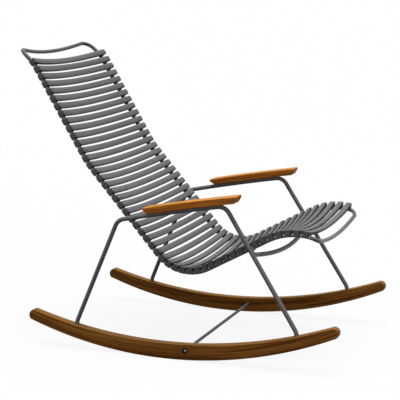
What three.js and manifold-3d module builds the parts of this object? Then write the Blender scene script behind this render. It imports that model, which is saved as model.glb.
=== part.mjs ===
// Rocking chair: a bent-tube seat frame with snap-on slats, two tubular side frames with flat
// wooden armrests, and two curved wooden runners joined by a rod.
// Millimetres. +X is the front of the chair, +Y its left side, +Z up. The floor is Z = 0. The sizes
// below are taken from the line on which the runners rest, and the finished chair is then moved so
// that the origin is the middle of its overall length.
import * as THREE from 'three';
import { mergeVertices } from 'three/addons/utils/BufferGeometryUtils.js';
import Module from 'manifold-3d';

const wasm = await Module();
wasm.setup();

// Clearances shared by the whole chair
const touchGap = 0.3;
const cutOverrun = 5;

// Runners: two planks cut to a lower and an upper arc, with bull-nosed ends
const runnerLowerRadius = 1238;
const runnerUpperRadius = 1430;
const runnerUpperCentreX = -7;
const runnerMidDepth = 45.5;
const runnerWidth = 28.5;
const runnerInset = 0.75;
const runnerRearReach = 426;
const runnerFrontReach = 508.2;
const runnerNoseLength = 13;
const runnerEdge = 1.2;
const runnerChord = 58;

// Side frames: one round bar each, from the rear foot over the armrest to the front foot
const sideBarDiameter = 13;
const sideBendRadius = 34;
const footBendRadius = 40;
const footBendHeight = 7;
const footDepth = 22;
const rearFootX = -282.1;
const frontFootX = 393;
const armRearX = -150.9;
const armRearHeight = 392;
const armFrontX = 177.3;
const armFrontHeight = 453.1;
const armArch = 2.2;
const sideReach = 59.25;
const sideSplayShare = 0.0292;

// Armrests: flat wooden bars laid on the arm tubes, undercut at both ends
const armrestRearX = -59;
const armrestFrontX = 222;
const armrestWidth = 51;
const armrestThickness = 19.3;
const armrestRearUndercut = 14;
const armrestFrontUndercut = 10;
const armrestTipRadius = 3;
const armrestEdge = 1.2;
const armrestOutset = 2.5;

// Seat frame: one closed loop of round bar, S-shaped from the side
const railDiameter = 12;
const railTopX = -456.4;
const railTopHeight = 851;
const railTopAngle = -41.4;
const headRadius = 150;
const headAngle = -18;
const backUpperLength = 289.8;
const backRadius = 265;
const backAngle = 10.3;
const backLowerLength = 319.8;
const seatRadius = 123.6;
const seatAngle = 77.4;
const seatLength = 202.7;
const kneeRadius = 182;
const kneeAngle = -39.7;
const topCornerReach = 37.5;
const topBowBack = 23;
const topBowDrop = 10;
const frontCornerReach = 27.7;
const frontCornerAhead = 20.6;
const frontCornerDrop = 9;
const frontBowBack = 4.2;
const frontBowDrop = 24.2;

// Slats: identical mouldings that snap over the seat frame
const slatCount = 48;
const slatFirst = 24;
const slatLast = 9.6;
const slatWidth = 18;
const slatLength = 492;
const slatEndReach = 16.5;
const slatBow = 24.5;
const slatThickness = 6.5;
const slatEndThickness = 10.5;
const slatFaceHeight = 18.8;
const slatClipDepth = 20.5;
const slatClipReach = 10.5;
const slatEndRadius = 3.5;
const slatSeatGap = 0.4;
const sleeveDiameter = 18;
const sleeveLength = 22;
const channelFacets = 5;

// Crossbar under the front of the seat
const crossbarDiameter = 13;
const crossbarEndHeight = 321.5;
const crossbarBowForward = 24;
const crossbarBowDrop = 26.5;

// Spacers that carry the seat frame on the side frames, in the gaps after these slats
const rearSpacerSlat = 22;
const frontSpacerSlat = 41;
const spacerDiameter = 10;
const spacerPinDiameter = 5.6;

// Rod and bolts between the runners
const rodDiameter = 9.5;
const rodX = 65;
const rodHeight = 29;
const boltShankDiameter = 5.4;
const boltShankReach = 14;
const boltHeadDiameter = 10;
const boltHeadHeight = 6;
const boltSocketDiameter = 5.8;
const boltSocketDepth = 3;
const counterboreDiameter = 15;
const counterboreDepth = 9;

// Facets
const barSides = 10;
const bendFacetAngle = 9.5;
const bowFacets = 12;

const sideBarRadius = sideBarDiameter / 2;
const railRadius = railDiameter / 2;

// The widths of the chair follow from the length of its slats.
const railSpread = slatLength / 2 - slatEndReach;
const sideSpread = railSpread + sideReach;
const runnerSpread = sideSpread - runnerInset;

const mats = {
  slat: new THREE.MeshStandardMaterial({ color: 0x59595b, roughness: 0.6, metalness: 0 }),
  bar: new THREE.MeshStandardMaterial({ color: 0x4a494b, roughness: 0.45, metalness: 0.3 }),
  wood: new THREE.MeshStandardMaterial({ color: 0x8a5a2c, roughness: 0.55, metalness: 0 }),
  armWood: new THREE.MeshStandardMaterial({ color: 0xb87437, roughness: 0.5, metalness: 0 }),
  bolt: new THREE.MeshStandardMaterial({ color: 0x9a9a9c, roughness: 0.35, metalness: 0.9 }),
};
const chair = new THREE.Group();

// General shapes

// A path given by its stations. The extrusion puts one section at each station.
class StationPath extends THREE.Curve {
  constructor(stations, firstTangent, lastTangent) {
    super();
    this.stations = stations;
    this.firstTangent = firstTangent;
    this.lastTangent = lastTangent;
  }

  stationAt(share) {
    return Math.round(share * (this.stations.length - 1));
  }

  getPointAt(share) {
    return this.stations[this.stationAt(share)].clone();
  }

  getTangentAt(share) {
    const last = this.stations.length - 1;
    const index = this.stationAt(share);
    if (index === 0 && this.firstTangent) return this.firstTangent.clone();
    if (index === last && this.lastTangent) return this.lastTangent.clone();
    const here = this.stations[index];
    const before = here.clone().sub(this.stations[Math.max(index - 1, 0)]).normalize();
    const after = this.stations[Math.min(index + 1, last)].clone().sub(here).normalize();
    return before.add(after).normalize();
  }
}

function roundSection(radius, sides) {
  const points = [];
  for (let i = 0; i < sides; i += 1) {
    const angle = (2 * Math.PI * (i + 0.5)) / sides;
    points.push(new THREE.Vector2(radius * Math.cos(angle), radius * Math.sin(angle)));
  }
  return new THREE.Shape(points);
}

function bar(stations, radius, { sides = barSides, firstTangent, lastTangent } = {}) {
  return new THREE.ExtrudeGeometry(roundSection(radius, sides), {
    steps: stations.length - 1,
    extrudePath: new StationPath(stations, firstTangent, lastTangent),
  });
}

// A corner of a bent bar, as stations along an arc that is tangent to both legs.
function bendStations(before, corner, after, radius) {
  const into = corner.clone().sub(before).normalize();
  const out = after.clone().sub(corner).normalize();
  const turn = into.angleTo(out);
  const start = corner.clone().addScaledVector(into, -radius * Math.tan(turn / 2));
  const side = out.clone().addScaledVector(into, -out.dot(into)).normalize();
  const facets = Math.max(1, Math.ceil(THREE.MathUtils.radToDeg(turn) / bendFacetAngle));
  const stations = [];
  for (let i = 0; i <= facets; i += 1) {
    const angle = (turn * i) / facets;
    stations.push(start.clone()
      .addScaledVector(into, radius * Math.sin(angle))
      .addScaledVector(side, radius * (1 - Math.cos(angle))));
  }
  return stations;
}

function mirrored(geometry) {
  const copy = geometry.index ? geometry.toNonIndexed() : geometry.clone();
  copy.scale(1, -1, 1);
  const places = copy.attributes.position;
  for (let i = 0; i < places.count; i += 3) {
    const second = new THREE.Vector3().fromBufferAttribute(places, i + 1);
    const third = new THREE.Vector3().fromBufferAttribute(places, i + 2);
    places.setXYZ(i + 1, third.x, third.y, third.z);
    places.setXYZ(i + 2, second.x, second.y, second.z);
  }
  copy.computeVertexNormals();
  return copy;
}

function solidOf(geometry) {
  const plain = geometry.clone();
  plain.deleteAttribute('normal');
  plain.deleteAttribute('uv');
  const welded = mergeVertices(plain);
  return new wasm.Manifold(new wasm.Mesh({
    numProp: 3,
    vertProperties: welded.attributes.position.array,
    triVerts: new Uint32Array(welded.index.array),
  }));
}

function geometryOf(solid) {
  const mesh = solid.getMesh();
  const geometry = new THREE.BufferGeometry();
  geometry.setAttribute('position', new THREE.BufferAttribute(mesh.vertProperties, 3));
  geometry.setIndex(new THREE.BufferAttribute(mesh.triVerts, 1));
  geometry.computeVertexNormals();
  return geometry;
}

function joined(geometries) {
  return geometries.map(solidOf).reduce((whole, piece) => whole.add(piece));
}

function add(name, geometry, material) {
  const mesh = new THREE.Mesh(geometry, material.clone());
  mesh.name = name;
  chair.add(mesh);
  return mesh;
}

function addPair(name, rightGeometry, material) {
  add(`${name}_right`, rightGeometry, material);
  add(`${name}_left`, mirrored(rightGeometry), material);
}

function along(start, end) {
  return [start, end];
}

// Runners

function runnerLowerPoint(angle) {
  const facetAngle = runnerChord / runnerLowerRadius;
  const centreHeight = runnerLowerRadius * Math.cos(facetAngle / 2);
  return new THREE.Vector2(
    runnerLowerRadius * Math.sin(angle),
    centreHeight - runnerLowerRadius * Math.cos(angle),
  );
}

function runnerTopHeight(x) {
  const run = x - runnerUpperCentreX;
  const rise = runnerUpperRadius - Math.sqrt(runnerUpperRadius ** 2 - run ** 2);
  return runnerMidDepth + rise;
}

// The lower arc has flat facets, laid out so that one of them lies flat on the floor at X = 0.
function runnerOutline() {
  const facetAngle = runnerChord / runnerLowerRadius;
  const rearAngle = Math.asin(runnerRearReach / runnerLowerRadius);
  const frontAngle = Math.asin(runnerFrontReach / runnerLowerRadius);
  const lower = [runnerLowerPoint(-rearAngle)];
  for (let i = -Math.ceil(rearAngle / facetAngle); i <= frontAngle / facetAngle; i += 1) {
    const angle = (i + 0.5) * facetAngle;
    const clear = facetAngle / 4;
    if (angle > -rearAngle + clear && angle < frontAngle - clear) lower.push(runnerLowerPoint(angle));
  }
  lower.push(runnerLowerPoint(frontAngle));
  const upper = [];
  const frontTop = runnerEndTop(frontAngle);
  const rearTop = runnerEndTop(-rearAngle);
  const spans = Math.round((frontTop.x - rearTop.x) / runnerChord);
  for (let i = 0; i <= spans; i += 1) {
    const x = frontTop.x + ((rearTop.x - frontTop.x) * i) / spans;
    upper.push(new THREE.Vector2(x, runnerTopHeight(x)));
  }
  return [
    ...lower,
    ...nose(lower[lower.length - 1], upper[0]),
    ...upper,
    ...nose(upper[upper.length - 1], lower[0]),
  ];
}

// Where the end's square cut meets the upper arc.
function runnerEndTop(angle) {
  const foot = runnerLowerPoint(angle);
  let top = foot.clone();
  for (let i = 0; i < 8; i += 1) {
    const height = runnerTopHeight(top.x);
    const depth = (height - foot.y) / Math.cos(angle);
    top = new THREE.Vector2(foot.x - depth * Math.sin(angle), height);
  }
  return top;
}

// The rounded end of a plank, from one corner of its square cut to the other.
function nose(from, to) {
  const middle = from.clone().add(to).multiplyScalar(0.5);
  const half = from.clone().sub(middle);
  const outward = new THREE.Vector2(-half.y, half.x).normalize().multiplyScalar(runnerNoseLength);
  const points = [];
  const facets = 7;
  for (let i = 1; i < facets; i += 1) {
    const angle = (Math.PI * i) / facets;
    points.push(middle.clone()
      .addScaledVector(half, Math.cos(angle))
      .addScaledVector(outward, Math.sin(angle)));
  }
  return points;
}

// A plank cut from an outline in the X-Z plane, with its thickness across the chair.
function plank(outline, width, edge, spread) {
  const geometry = new THREE.ExtrudeGeometry(new THREE.Shape(outline), {
    depth: width - 2 * edge,
    bevelEnabled: true,
    bevelThickness: edge,
    bevelSize: edge,
    bevelOffset: -edge,
    bevelSegments: 1,
  });
  geometry.translate(0, 0, edge - width / 2);
  geometry.rotateX(Math.PI / 2);
  geometry.translate(0, -spread, 0);
  return geometry;
}

// Side frames. The right-hand one lies at -Y and leans out towards the floor.

function onSide(x, height) {
  return new THREE.Vector3(x, sideSplayShare * height - sideSpread, height);
}

function armPoint(share) {
  const rear = new THREE.Vector2(armRearX, armRearHeight);
  const front = new THREE.Vector2(armFrontX, armFrontHeight);
  const chord = front.clone().sub(rear);
  const up = new THREE.Vector2(-chord.y, chord.x).normalize();
  return rear.addScaledVector(chord, share)
    .addScaledVector(up, 4 * armArch * share * (1 - share));
}

function sideStations(footGap) {
  const foot = (x) => onSide(x, runnerTopHeight(x) - footDepth - footGap);
  const footBend = (x) => onSide(x, runnerTopHeight(x) + footBendHeight);
  const armShares = [0, 0.25, 0.42, 0.58, 0.75, 1];
  const arm = armShares.map((share) => {
    const point = armPoint(share);
    return onSide(point.x, point.y);
  });
  const [rearCorner, frontCorner] = [arm[0], arm[arm.length - 1]];
  return [
    foot(rearFootX),
    ...bendStations(foot(rearFootX), footBend(rearFootX), rearCorner, footBendRadius),
    ...bendStations(footBend(rearFootX), rearCorner, arm[1], sideBendRadius),
    ...arm.slice(1, -1),
    ...bendStations(arm[arm.length - 2], frontCorner, footBend(frontFootX), sideBendRadius),
    ...bendStations(frontCorner, footBend(frontFootX), foot(frontFootX), footBendRadius),
    foot(frontFootX),
  ];
}

function nearestOn(stations, target) {
  let best = stations[0];
  for (let i = 1; i < stations.length; i += 1) {
    const line = new THREE.Line3(stations[i - 1], stations[i]);
    const point = line.closestPointToPoint(target, true, new THREE.Vector3());
    if (point.distanceTo(target) < best.distanceTo(target)) best = point;
  }
  return best;
}

// A spacer runs out from the seat rail, as a pin behind the clips and then as a thicker stub, to the
// nearest point of the side frame.
function spacer(slatNumber) {
  const { point, heading } = railAt(slatFirst + (slatNumber - 0.5) * slatPitch());
  const back = slatClipDepth - slatFaceHeight + touchGap + spacerPinDiameter / 2;
  const x = point.x + back * Math.sin(heading);
  const z = point.y - back * Math.cos(heading);
  const at = (y) => new THREE.Vector3(x, -y, z);
  const pinEnd = slatLength / 2 + 4 * touchGap;
  const pinStart = railSpread + railRadius + touchGap;
  const pin = bar(along(at(pinStart), at(pinEnd + cutOverrun)), spacerPinDiameter / 2);
  const outer = at(pinEnd);
  const seat = nearestOn(sideStations(0), outer);
  const stub = bar(along(outer, seat), spacerDiameter / 2, { firstTangent: new THREE.Vector3(0, -1, 0) });
  return [pin, stub];
}

function sideFrame() {
  const pieces = [bar(sideStations(0), sideBarRadius), ...spacer(rearSpacerSlat), ...spacer(frontSpacerSlat)];
  return geometryOf(joined(pieces));
}

// Armrests

// The underside and the top follow the arm, and both ends slope in below a small rounded tip.
function armrestOutline() {
  const chord = armFrontX - armRearX;
  const shareOf = (x) => (x - armRearX) / chord;
  const offset = (share, height) => {
    const step = 0.01;
    const slope = armPoint(share + step).sub(armPoint(share - step)).normalize();
    return armPoint(share).add(new THREE.Vector2(-slope.y, slope.x).multiplyScalar(height));
  };
  const under = sideBarRadius + touchGap;
  const top = under + armrestThickness;
  const rear = shareOf(armrestRearX);
  const front = shareOf(armrestFrontX);
  const rearInset = armrestRearUndercut / chord;
  const frontInset = armrestFrontUndercut / chord;
  const tip = armrestTipRadius / chord;
  const spans = 6;
  const points = [];
  for (let i = 0; i <= spans; i += 1) {
    const share = rear + rearInset + ((front - frontInset - rear - rearInset) * i) / spans;
    points.push(offset(share, under));
  }
  points.push(offset(front, top - 2 * armrestTipRadius));
  points.push(offset(front, top - armrestTipRadius / 2));
  for (let i = 0; i <= spans; i += 1) {
    const share = front - tip + ((rear - front + 2 * tip) * i) / spans;
    points.push(offset(share, top));
  }
  points.push(offset(rear, top - armrestTipRadius / 2));
  points.push(offset(rear, top - 2 * armrestTipRadius));
  return points;
}

function armrest() {
  const middle = armPoint(0.5);
  const spread = -onSide(middle.x, middle.y).y + armrestOutset;
  return plank(armrestOutline(), armrestWidth, armrestEdge, spread);
}

// Seat frame

// The rail's side view, from the top corner down the back and along the seat, as runs and bends.
const railRuns = [
  { radius: headRadius, turn: headAngle },
  { length: backUpperLength },
  { radius: backRadius, turn: backAngle },
  { length: backLowerLength },
  { radius: seatRadius, turn: seatAngle },
  { length: seatLength },
  { radius: kneeRadius, turn: kneeAngle },
];

function runLength(run) {
  return run.length ?? run.radius * Math.abs(THREE.MathUtils.degToRad(run.turn));
}

function stepAlong(place, run, distance) {
  const forward = new THREE.Vector2(Math.cos(place.heading), Math.sin(place.heading));
  if (run.length !== undefined) {
    return { point: place.point.clone().addScaledVector(forward, distance), heading: place.heading };
  }
  const sign = Math.sign(run.turn);
  const angle = distance / run.radius;
  const side = new THREE.Vector2(-forward.y, forward.x).multiplyScalar(sign);
  const point = place.point.clone()
    .addScaledVector(forward, run.radius * Math.sin(angle))
    .addScaledVector(side, run.radius * (1 - Math.cos(angle)));
  return { point, heading: place.heading + sign * angle };
}

// The place and heading of the rail's centre line at a distance from its top end.
function railAt(distance) {
  let place = {
    point: new THREE.Vector2(railTopX, railTopHeight),
    heading: THREE.MathUtils.degToRad(railTopAngle),
  };
  let left = distance;
  for (const run of railRuns) {
    const length = runLength(run);
    if (left <= length || run === railRuns[railRuns.length - 1]) return stepAlong(place, run, left);
    place = stepAlong(place, run, length);
    left -= length;
  }
  return place;
}

function railLength() {
  return railRuns.reduce((sum, run) => sum + runLength(run), 0);
}

// The slats are spread evenly over the rail between the first and the last.
function slatPitch() {
  return (railLength() - slatFirst - slatLast) / (slatCount - 1);
}

function railStations() {
  const distances = [0];
  let start = 0;
  for (const run of railRuns) {
    const length = runLength(run);
    const facets = run.length !== undefined ? 1 : Math.ceil(Math.abs(run.turn) / (bendFacetAngle * 0.6));
    for (let i = 1; i <= facets; i += 1) distances.push(start + (length * i) / facets);
    start += length;
  }
  return distances.map((distance) => {
    const { point } = railAt(distance);
    return new THREE.Vector3(point.x, -railSpread, point.y);
  });
}

// A cross rail from its corner to the middle, bowed by the given amounts.
function bowPoint(corner, middle, y) {
  const share = (y / railSpread) ** 2;
  const point = middle.clone().lerp(corner, share);
  return new THREE.Vector3(point.x, -y, point.y);
}

// The rounded corner between a side rail's end and the start of a cross rail.
function cornerStations(railEnd, heading, corner, middle, reach) {
  const forward = new THREE.Vector3(Math.cos(heading), 0, Math.sin(heading));
  const start = bowPoint(corner, middle, railSpread - reach);
  const ahead = bowPoint(corner, middle, railSpread - 1.01 * reach).sub(start).normalize();
  const pull = 0.5523;
  const cornerPlace = new THREE.Vector3(corner.x, -railSpread, corner.y);
  const curve = new THREE.CubicBezierCurve3(
    railEnd,
    railEnd.clone().addScaledVector(forward, pull * railEnd.distanceTo(cornerPlace)),
    start.clone().addScaledVector(ahead, -pull * reach),
    start,
  );
  return curve.getPoints(7).slice(1);
}

function crossRailStations(corner, middle, reach) {
  const facets = 5;
  const stations = [];
  for (let i = 1; i <= facets; i += 1) {
    stations.push(bowPoint(corner, middle, ((railSpread - reach) * (facets - i)) / facets));
  }
  return stations;
}

function seatFrameHalf() {
  const rail = railStations();
  const topHeading = THREE.MathUtils.degToRad(railTopAngle) + Math.PI;
  const topCorner = new THREE.Vector2(
    railTopX + topCornerReach * Math.cos(topHeading),
    railTopHeight + topCornerReach * Math.sin(topHeading),
  );
  const backHeading = THREE.MathUtils.degToRad(railTopAngle + headAngle);
  const topMiddle = topCorner.clone()
    .add(new THREE.Vector2(Math.sin(backHeading), -Math.cos(backHeading)).multiplyScalar(topBowBack))
    .add(new THREE.Vector2(Math.cos(backHeading), Math.sin(backHeading)).multiplyScalar(topBowDrop));
  const frontEnd = railAt(railLength());
  const frontCorner = frontEnd.point.clone().add(new THREE.Vector2(frontCornerAhead, -frontCornerDrop));
  const frontMiddle = frontCorner.clone().add(new THREE.Vector2(-frontBowBack, -frontBowDrop));
  const top = [
    ...cornerStations(rail[0], topHeading, topCorner, topMiddle, topCornerReach),
    ...crossRailStations(topCorner, topMiddle, topCornerReach),
  ];
  const front = [
    ...cornerStations(rail[rail.length - 1], frontEnd.heading, frontCorner, frontMiddle, frontCornerReach),
    ...crossRailStations(frontCorner, frontMiddle, frontCornerReach),
  ];
  const half = bar([...top.reverse(), ...rail, ...front], railRadius, {
    firstTangent: new THREE.Vector3(0, -1, 0),
    lastTangent: new THREE.Vector3(0, 1, 0),
  });
  const places = half.attributes.position;
  const nearMiddle = railRadius / 1000;
  for (let i = 0; i < places.count; i += 1) {
    if (Math.abs(places.getY(i)) < nearMiddle) places.setY(i, 0);
  }
  return half;
}

function seatFrame() {
  const half = seatFrameHalf();
  return geometryOf(joined([half, mirrored(half)]));
}

// Slats

// The slat's long outline: X runs across the chair and Y out of the seat, and the rail's centre
// is at height 0. The face is a bowed plate, thicker towards the ends, and each end is a clip open
// at the back.
function slatOutline() {
  const half = slatLength / 2;
  const faceAt = (x) => slatFaceHeight - slatBow * (1 - (x / half) ** 2);
  const thickening = slatEndThickness - slatThickness;
  const backAt = (x) => faceAt(x) - slatThickness - thickening * (x / half) ** 2;
  const clipInner = railSpread - slatClipReach;
  const clipBack = slatFaceHeight - slatClipDepth;
  const face = [];
  for (let i = 0; i <= bowFacets; i += 1) {
    const x = -(half - slatEndRadius) + (2 * (half - slatEndRadius) * i) / bowFacets;
    face.push(new THREE.Vector2(x, faceAt(x)));
  }
  const rightEnd = [
    new THREE.Vector2(half - slatEndRadius / 4, faceAt(half) - slatEndRadius / 3),
    new THREE.Vector2(half, faceAt(half) - slatEndRadius),
    new THREE.Vector2(half, clipBack),
  ];
  const under = [];
  const spans = 8;
  for (let i = 0; i <= spans; i += 1) {
    const x = clipInner - (2 * clipInner * i) / spans;
    under.push(new THREE.Vector2(x, backAt(x)));
  }
  const rightClip = [...rightEnd, ...arcOverRail(railRadius + slatSeatGap), new THREE.Vector2(clipInner, clipBack)];
  return [...face, ...rightClip, ...under, ...flipped(rightClip)].reverse();
}

function flipped(points) {
  return points.map((point) => new THREE.Vector2(-point.x, point.y)).reverse();
}

// An arc over the rail, from its outer side to its inner side, down to the back of the clips.
function arcOverRail(clear) {
  const mouth = Math.asin((slatFaceHeight - slatClipDepth) / clear);
  const sweep = Math.PI - 2 * mouth;
  const radius = clear / Math.cos(sweep / channelFacets / 2);
  const points = [];
  for (let i = 0; i <= channelFacets; i += 1) {
    const angle = mouth + (sweep * i) / channelFacets;
    const reach = i === 0 || i === channelFacets ? clear : radius;
    points.push(new THREE.Vector2(railSpread + reach * Math.cos(angle), reach * Math.sin(angle)));
  }
  return points;
}

function extruded(outline, depth) {
  const geometry = new THREE.ExtrudeGeometry(new THREE.Shape(outline), { depth, bevelEnabled: false });
  geometry.translate(0, 0, -depth / 2);
  return geometry;
}

// The open sleeve round the rail is longer than the slat is wide, and keeps the next slat away.
function slat() {
  const channel = arcOverRail(railRadius + slatSeatGap);
  const sleeve = [...arcOverRail(sleeveDiameter / 2), ...channel.reverse()];
  const outlines = [sleeve, flipped(sleeve)];
  const sleeves = outlines.map((outline) => extruded(outline, sleeveLength));
  return geometryOf(joined([extruded(slatOutline(), slatWidth), ...sleeves]));
}

// A slat sits square to the rail, midway between the rail's centre line and its chord.
function placeSlat(mesh, distance) {
  const here = railAt(distance);
  const before = railAt(distance - slatWidth / 2).point;
  const after = railAt(distance + slatWidth / 2).point;
  const centre = before.add(after).multiplyScalar(0.5).add(here.point).multiplyScalar(0.5);
  const across = new THREE.Vector3(Math.cos(here.heading), 0, Math.sin(here.heading));
  const outward = new THREE.Vector3(-across.z, 0, across.x);
  const sideways = new THREE.Vector3(0, 1, 0);
  mesh.quaternion.setFromRotationMatrix(new THREE.Matrix4().makeBasis(sideways, outward, across));
  mesh.position.set(centre.x, 0, centre.y);
}

// Crossbar

function legPointAt(height) {
  const stations = sideStations(0);
  for (let i = stations.length - 1; i > 0; i -= 1) {
    const [low, high] = [stations[i], stations[i - 1]];
    if (low.z <= height && height <= high.z) {
      return low.clone().lerp(high, (height - low.z) / (high.z - low.z));
    }
  }
  return stations[0].clone();
}

function crossbar() {
  const end = legPointAt(crossbarEndHeight);
  const facets = 14;
  const stations = [];
  for (let i = 0; i <= facets; i += 1) {
    const y = end.y + (-2 * end.y * i) / facets;
    const share = 1 - (y / end.y) ** 2;
    stations.push(new THREE.Vector3(
      end.x + crossbarBowForward * share,
      y,
      end.z - crossbarBowDrop * share,
    ));
  }
  const leg = bar(sideStations(0), sideBarRadius + touchGap, { sides: 2 * barSides });
  const whole = solidOf(bar(stations, crossbarDiameter / 2));
  return geometryOf(whole.subtract(solidOf(leg)).subtract(solidOf(mirrored(leg))));
}

// Rod and bolts

function crossPin(innerY, outerY, radius, sides) {
  const at = (y) => new THREE.Vector3(rodX, -y, rodHeight);
  return bar(along(at(innerY), at(outerY)), radius, { sides });
}

function boltSeat() {
  return runnerSpread + runnerWidth / 2 - counterboreDepth;
}

function bolt() {
  const tip = runnerSpread - runnerWidth / 2 - boltShankReach;
  const seat = boltSeat() + touchGap;
  const headEnd = seat + boltHeadHeight;
  const shank = crossPin(tip, seat + boltHeadHeight / 2, boltShankDiameter / 2, 10);
  const head = crossPin(seat, headEnd, boltHeadDiameter / 2, 16);
  const socket = crossPin(headEnd - boltSocketDepth, headEnd + cutOverrun, boltSocketDiameter / 2, 6);
  return geometryOf(solidOf(head).add(solidOf(shank)).subtract(solidOf(socket)));
}

function rod() {
  const end = runnerSpread - runnerWidth / 2 - touchGap;
  const tap = crossPin(
    end - boltShankReach - touchGap,
    end + cutOverrun,
    boltShankDiameter / 2 + touchGap,
    10,
  );
  const whole = solidOf(crossPin(-end, end, rodDiameter / 2, 14));
  return geometryOf(whole.subtract(solidOf(tap)).subtract(solidOf(mirrored(tap))));
}

function runner() {
  const blank = solidOf(plank(runnerOutline(), runnerWidth, runnerEdge, runnerSpread));
  const stations = sideStations(touchGap);
  const feet = bar(stations, sideBarRadius + touchGap, { sides: barSides });
  const outerFace = runnerSpread + runnerWidth / 2;
  const shankHole = crossPin(
    outerFace - runnerWidth - cutOverrun,
    outerFace,
    boltShankDiameter / 2 + touchGap,
    10,
  );
  const counterbore = crossPin(boltSeat(), outerFace + cutOverrun, counterboreDiameter / 2, 16);
  return geometryOf(blank
    .subtract(solidOf(feet))
    .subtract(solidOf(shankHole))
    .subtract(solidOf(counterbore)));
}

// Assembly

addPair('runner', runner(), mats.wood);
addPair('side_frame', sideFrame(), mats.bar);
addPair('armrest', armrest(), mats.armWood);
add('seat_frame', seatFrame(), mats.bar);
add('seat_crossbar', crossbar(), mats.bar);
add('stretcher_rod', rod(), mats.bar);
addPair('stretcher_bolt', bolt(), mats.bolt);

const slatShape = slat();
for (let i = 0; i < slatCount; i += 1) {
  const mesh = add(`slat_${String(i + 1).padStart(2, '0')}`, slatShape, mats.slat);
  placeSlat(mesh, slatFirst + i * slatPitch());
}

// The origin of the finished chair
const extent = new THREE.Box3().setFromObject(chair, true);
chair.position.x = -(extent.min.x + extent.max.x) / 2;

export default chair;
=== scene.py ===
"""A slatted rocking chair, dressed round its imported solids. Metres, +X front, +Y left, +Z up."""
import math

import bmesh
import bpy
from mathutils import Matrix, Vector


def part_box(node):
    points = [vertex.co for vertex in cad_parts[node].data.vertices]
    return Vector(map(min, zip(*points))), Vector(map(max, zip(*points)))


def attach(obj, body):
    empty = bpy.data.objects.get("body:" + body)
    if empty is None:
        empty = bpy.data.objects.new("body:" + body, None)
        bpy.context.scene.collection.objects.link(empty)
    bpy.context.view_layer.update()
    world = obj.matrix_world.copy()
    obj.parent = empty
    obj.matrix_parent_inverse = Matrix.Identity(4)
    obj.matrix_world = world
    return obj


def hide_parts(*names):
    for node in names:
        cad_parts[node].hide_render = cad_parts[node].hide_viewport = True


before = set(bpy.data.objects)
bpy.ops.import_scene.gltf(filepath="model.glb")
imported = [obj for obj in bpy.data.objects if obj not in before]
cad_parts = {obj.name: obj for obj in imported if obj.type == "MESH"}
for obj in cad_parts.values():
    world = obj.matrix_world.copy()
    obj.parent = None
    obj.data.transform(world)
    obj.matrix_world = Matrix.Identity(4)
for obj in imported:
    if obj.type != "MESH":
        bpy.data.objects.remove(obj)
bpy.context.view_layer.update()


# Seat frame. One closed loop of round steel bar, S-shaped from the side, with a bowed head rail
# and a bowed front rail. It is welded shut, powder coated like the side frames, and carries all
# the slats.

# Everything is measured from the line on which the runners rest, and the rod lies this far ahead
# of it and above the floor.
rod_x = 0.065
rod_height = 0.029
rod_low, rod_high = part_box("stretcher_rod")
rest_x = (rod_low.x + rod_high.x) / 2 - rod_x

rail_radius = 0.00577
rail_spread = 0.2295
rail_top = Vector((-0.4564, 0.851))
rail_top_angle = math.radians(-41.4)
# The rail's runs from its top end down: a bend's radius and turn, or the length of a straight run.
rail_runs = [
    (0.15, math.radians(-18)),
    (0.2898, None),
    (0.265, math.radians(10.3)),
    (0.3198, None),
    (0.1236, math.radians(77.4)),
    (0.2027, None),
    (0.182, math.radians(-39.7)),
]
top_corner_reach = 0.0375
top_bow_back = 0.023
top_bow_drop = 0.01
front_corner_reach = 0.0277
front_corner_ahead = 0.0206
front_corner_drop = 0.009
front_bow_back = 0.0042
front_bow_drop = 0.0242
corner_pull = 0.5523
bow_probe = 1.01
straight_facets = 4
bend_facet_angle = math.radians(4)
crease_angle = math.radians(38)
same_place = 1e-6


def run_length(run):
    size, turn = run
    return size if turn is None else size * abs(turn)


def step_along(point, heading, run, distance):
    """Where the rail is and how it heads at that distance along a run, seen from the side."""
    size, turn = run
    forward = Vector((math.cos(heading), math.sin(heading)))
    if turn is None:
        return point + forward * distance, heading
    sign = math.copysign(1, turn)
    angle = distance / size
    side = Vector((-forward.y, forward.x)) * sign
    moved = point + forward * size * math.sin(angle) + side * size * (1 - math.cos(angle))
    return moved, heading + sign * angle


def rail_at(distance):
    """The place and heading of the rail's centre line, seen from the side."""
    point, heading = rail_top + Vector((rest_x, 0)), rail_top_angle
    for run in rail_runs[:-1]:
        length = run_length(run)
        if distance <= length:
            return step_along(point, heading, run, distance)
        point, heading = step_along(point, heading, run, length)
        distance -= length
    return step_along(point, heading, rail_runs[-1], distance)


rail_length = sum(run_length(run) for run in rail_runs)


def evenly(start, end, steps):
    return [start + (end - start) * i / steps for i in range(steps + 1)]


def bow_point(corner, middle, y):
    """A place on a bowed cross rail, this far to the right of its middle."""
    point = middle.lerp(corner, (y / rail_spread) ** 2)
    return Vector((point.x, -y, point.y))


def corner_points(rail_end, heading, corner, middle, reach, facets=14):
    """The smooth corner between the end of a rail and a bowed cross rail."""
    forward = Vector((math.cos(heading), 0, math.sin(heading)))
    start = bow_point(corner, middle, rail_spread - reach)
    ahead = (bow_point(corner, middle, rail_spread - bow_probe * reach) - start).normalized()
    away = (rail_end - Vector((corner.x, -rail_spread, corner.y))).length
    pulls = [
        rail_end,
        rail_end + forward * corner_pull * away,
        start - ahead * corner_pull * reach,
        start,
    ]
    points = []
    for t in evenly(0, 1, facets)[1:]:
        shares = [(1 - t) ** 3, 3 * t * (1 - t) ** 2, 3 * t * t * (1 - t), t**3]
        pulled = (pull * share for pull, share in zip(pulls, shares))
        points.append(sum(pulled, Vector((0, 0, 0))))
    return points


def cross_rail_points(corner, middle, reach, facets=14):
    """From a corner to the middle of a bowed cross rail."""
    return [bow_point(corner, middle, y) for y in evenly(rail_spread - reach, 0, facets)[1:]]


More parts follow.
